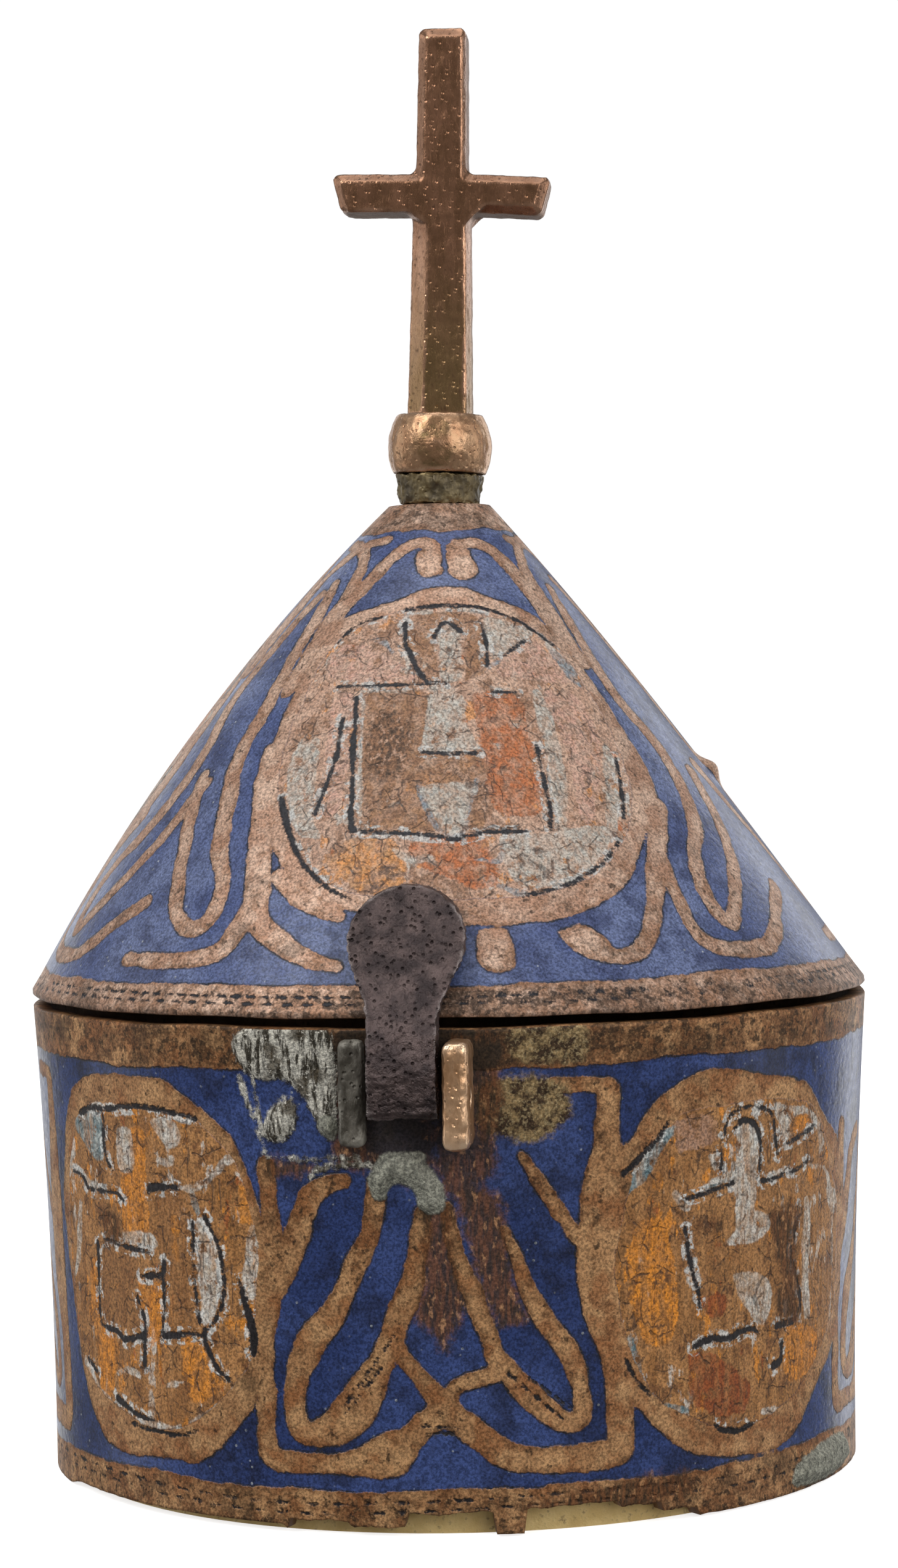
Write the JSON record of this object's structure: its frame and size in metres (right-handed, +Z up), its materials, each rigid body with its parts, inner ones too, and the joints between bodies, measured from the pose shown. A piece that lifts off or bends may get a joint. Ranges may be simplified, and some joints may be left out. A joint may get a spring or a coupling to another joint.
{
  "type": "pyx",
  "caption": "Round copper box with champleve enamel bands, hinged hollow cone lid, iron clasp, ball knop and cross finial.",
  "frame": {"origin": "middle of the underside of the base plate, on the box's own axis", "axes": "+Z up along the box's axis; -Y is the clasp side, +Y the hinge side, +X the right hand seen from the clasp side"},
  "size_m": [0.068, 0.0764, 0.1164],
  "materials": {
    "enamelled_copper": "copper with blue champleve enamel and worn bare copper bands",
    "worn_copper": "worn copper with a brown patina, brighter on the edges",
    "brass": "dull yellow brass",
    "dark_iron": "dark pitted wrought iron",
    "dark_collar": "dark crusted copper with specks of gilding"
  },
  "bodies": {
    "box": {"body_wall": "enamelled_copper", "base_plate": "brass", "clasp_lug_left": "worn_copper", "clasp_lug_right": "worn_copper", "hinge_lug_left": "worn_copper", "hinge_lug_right": "worn_copper", "hinge_pin": "dark_iron"},
    "lid": {"lid_cone": "enamelled_copper", "collar": "dark_collar", "knop": "worn_copper", "cross": "worn_copper", "hasp": "dark_iron", "hinge_strap": "dark_iron"}
  },
  "joints": [
    {"name": "lid_hinge", "type": "hinge", "parent": "box", "child": "lid", "pos_m": [0, 0.03625, 0.03265], "axis": [-1, 0, 0], "range_deg": [0, 105]}
  ]
}
